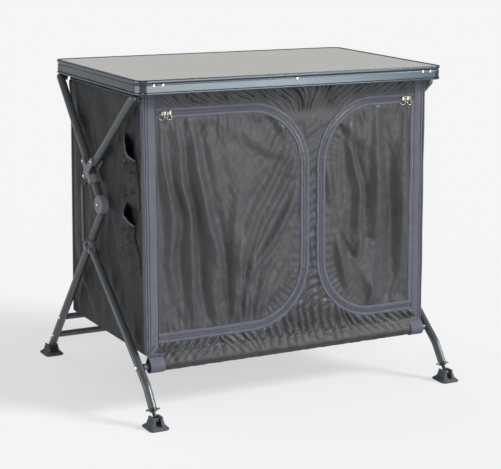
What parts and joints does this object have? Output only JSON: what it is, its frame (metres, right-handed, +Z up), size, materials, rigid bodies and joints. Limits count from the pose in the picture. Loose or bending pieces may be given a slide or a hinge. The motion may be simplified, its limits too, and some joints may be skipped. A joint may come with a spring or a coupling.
{
  "type": "folding camp kitchen cupboard",
  "caption": "Free-standing folding camp cupboard: worktop in an aluminium edge on folding tube side frames with levelling feet, and a fabric cabinet with zip doors.",
  "frame": {"origin": "on the floor, under the middle of the object", "axes": "+Z up, the doors face -Y, +X to the right of a person who faces the doors"},
  "size_m": [0.87, 0.718, 0.8],
  "materials": {
    "worktop": "grey laminate",
    "edge_profile": "anodised",
    "tube": "satin powder coat",
    "casting": "satin grey",
    "black_plastic": "moulded",
    "foot": "moulded",
    "cloth": "coated polyester weave",
    "zip_metal": "plated"
  },
  "bodies": {
    "top": {"worktop_board": "worktop", "edge_front": "edge_profile", "edge_rear": "edge_profile", "edge_left": "edge_profile", "edge_right": "edge_profile", "edge_corner_front_left": "edge_profile", "edge_corner_front_right": "edge_profile", "edge_corner_rear_left": "edge_profile", "edge_corner_rear_right": "edge_profile", "under_brace": "edge_profile", "fabric_rail": "black_plastic", "rear_bracket_left": "casting", "rear_bracket_right": "casting", "front_catch_left": "casting", "front_catch_right": "casting", "fabric_rear": "cloth", "fabric_side_left": "cloth", "fabric_side_right": "cloth", "fabric_front": "cloth", "fabric_floor": "cloth", "shelf": "cloth", "divider": "cloth", "pocket_upper": "cloth", "pocket_lower": "cloth"},
    "rear_upper": {"rear_upper_tube_left": "tube", "rear_upper_tube_right": "tube", "hub_left": "casting", "hub_right": "casting", "knee_upper_left": "casting", "knee_upper_right": "casting"},
    "rear_legs": {"rear_leg_tube_left": "tube", "rear_leg_tube_right": "tube", "knee_lower_left": "casting", "knee_lower_right": "casting", "leg_bracket_left": "casting", "leg_bracket_right": "casting", "rear_crossbar_upper": "tube", "rear_crossbar_lower": "tube"},
    "front_legs": {"front_leg_tube_left": "tube", "front_leg_tube_right": "tube", "front_crossbar": "tube", "hem_sleeve": "cloth"},
    "front_upper_left": {"front_upper_tube_left": "tube"},
    "stay_left": {"stay_left": "tube"},
    "foot_rear_left": {"foot_rear_left": "foot"},
    "foot_stem_left": {"foot_stem_left": "black_plastic"},
    "foot_front_left": {"foot_front_left": "foot"},
    "foot_nut_left": {"foot_nut_left": "black_plastic"},
    "door_left": {"door_left": "cloth"},
    "zip_sliders_left": {"zip_sliders_left": "zip_metal"},
    "zip_pull_left": {"zip_pull_left": "zip_metal"},
    "front_upper_right": {"front_upper_tube_right": "tube"},
    "stay_right": {"stay_right": "tube"},
    "foot_rear_right": {"foot_rear_right": "foot"},
    "foot_stem_right": {"foot_stem_right": "black_plastic"},
    "foot_front_right": {"foot_front_right": "foot"},
    "foot_nut_right": {"foot_nut_right": "black_plastic"},
    "door_right": {"door_right": "cloth"},
    "zip_sliders_right": {"zip_sliders_right": "zip_metal"},
    "zip_pull_right": {"zip_pull_right": "zip_metal"}
  },
  "joints": [
    {"name": "knee_fold", "type": "hinge", "parent": "rear_upper", "child": "rear_legs", "pos_m": [0, -0.02, 0.473], "axis": [1, 0, 0], "range_deg": [0, 84], "deforming": ["fabric_rear", "fabric_side_left", "fabric_side_right", "fabric_front", "fabric_floor", "shelf", "divider", "pocket_upper", "pocket_lower", "door_left", "door_right"]},
    {"name": "rear_upper_pivot", "type": "hinge", "parent": "top", "child": "rear_upper", "pos_m": [0, 0.236, 0.7555], "axis": [-1, 0, 0], "range_deg": [0, 37.01]},
    {"name": "front_leg_pivot", "type": "hinge", "parent": "rear_legs", "child": "front_legs", "pos_m": [0, 0.03496, 0.34491], "axis": [1, 0, 0], "range_deg": [0, 78.01]},
    {"name": "front_upper_pivot_left", "type": "hinge", "parent": "rear_upper", "child": "front_upper_left", "pos_m": [-0.41, 0.01167, 0.57487], "axis": [1, 0, 0], "range_deg": [0, 84.01]},
    {"name": "stay_pivot_left", "type": "hinge", "parent": "rear_upper", "child": "stay_left", "pos_m": [-0.41, 0.0588, 0.53157], "axis": [-1, 0, 0], "range_deg": [0, 45.01]},
    {"name": "foot_rear_swivel_left", "type": "hinge", "parent": "rear_legs", "child": "foot_rear_left", "pos_m": [-0.41, 0.33, 0.0195], "axis": [1, 0, 0], "range_deg": [-20, 20]},
    {"name": "foot_level_left", "type": "slide", "parent": "front_legs", "child": "foot_stem_left", "axis": [0, -0.5818, -0.8133], "range_m": [0, 0.012]},
    {"name": "foot_front_swivel_left", "type": "hinge", "parent": "foot_stem_left", "child": "foot_front_left", "pos_m": [-0.41, -0.33, 0.0195], "axis": [1, 0, 0], "range_deg": [-20, 20]},
    {"name": "foot_nut_turn_left", "type": "hinge", "parent": "front_legs", "child": "foot_nut_left", "pos_m": [-0.41, -0.31371, 0.04227], "axis": [0, -0.5818, -0.8133], "continuous": true},
    {"name": "door_hinge_left", "type": "hinge", "parent": "top", "child": "door_left", "pos_m": [-0.358, -0.22637, 0.455], "axis": [0, -0.035, -0.9994], "range_deg": [0, 110]},
    {"name": "zip_run_left", "type": "slide", "parent": "door_left", "child": "zip_sliders_left", "axis": [1, 0, 0], "range_m": [0, 0.2]},
    {"name": "pull_swing_left", "type": "hinge", "parent": "zip_sliders_left", "child": "zip_pull_left", "pos_m": [-0.34, -0.22207, 0.718], "axis": [-1, 0, 0], "range_deg": [0, 150]},
    {"name": "front_upper_pivot_right", "type": "hinge", "parent": "rear_upper", "child": "front_upper_right", "pos_m": [0.41, 0.01167, 0.57487], "axis": [1, 0, 0], "range_deg": [0, 84.01]},
    {"name": "stay_pivot_right", "type": "hinge", "parent": "rear_upper", "child": "stay_right", "pos_m": [0.41, 0.0588, 0.53157], "axis": [-1, 0, 0], "range_deg": [0, 45.01]},
    {"name": "foot_rear_swivel_right", "type": "hinge", "parent": "rear_legs", "child": "foot_rear_right", "pos_m": [0.41, 0.33, 0.0195], "axis": [1, 0, 0], "range_deg": [-20, 20]},
    {"name": "foot_level_right", "type": "slide", "parent": "front_legs", "child": "foot_stem_right", "axis": [0, -0.5818, -0.8133], "range_m": [0, 0.012]},
    {"name": "foot_front_swivel_right", "type": "hinge", "parent": "foot_stem_right", "child": "foot_front_right", "pos_m": [0.41, -0.33, 0.0195], "axis": [1, 0, 0], "range_deg": [-20, 20]},
    {"name": "foot_nut_turn_right", "type": "hinge", "parent": "front_legs", "child": "foot_nut_right", "pos_m": [0.41, -0.31371, 0.04227], "axis": [0, -0.5818, -0.8133], "continuous": true},
    {"name": "door_hinge_right", "type": "hinge", "parent": "top", "child": "door_right", "pos_m": [0.358, -0.22637, 0.455], "axis": [0, 0.035, 0.9994], "range_deg": [0, 110]},
    {"name": "zip_run_right", "type": "slide", "parent": "door_right", "child": "zip_sliders_right", "axis": [-1, 0, 0], "range_m": [0, 0.08]},
    {"name": "pull_swing_right", "type": "hinge", "parent": "zip_sliders_right", "child": "zip_pull_right", "pos_m": [0.34, -0.22207, 0.718], "axis": [-1, 0, 0], "range_deg": [0, 150]}
  ],
  "couplings": [
    {"joint": "rear_upper_pivot", "follows": "knee_fold", "ratio": 0.44048},
    {"joint": "front_leg_pivot", "follows": "knee_fold", "ratio": 0.92857},
    {"joint": "front_upper_pivot_left", "follows": "knee_fold", "ratio": 1},
    {"joint": "stay_pivot_left", "follows": "knee_fold", "ratio": 0.53571},
    {"joint": "front_upper_pivot_right", "follows": "knee_fold", "ratio": 1},
    {"joint": "stay_pivot_right", "follows": "knee_fold", "ratio": 0.53571}
  ]
}
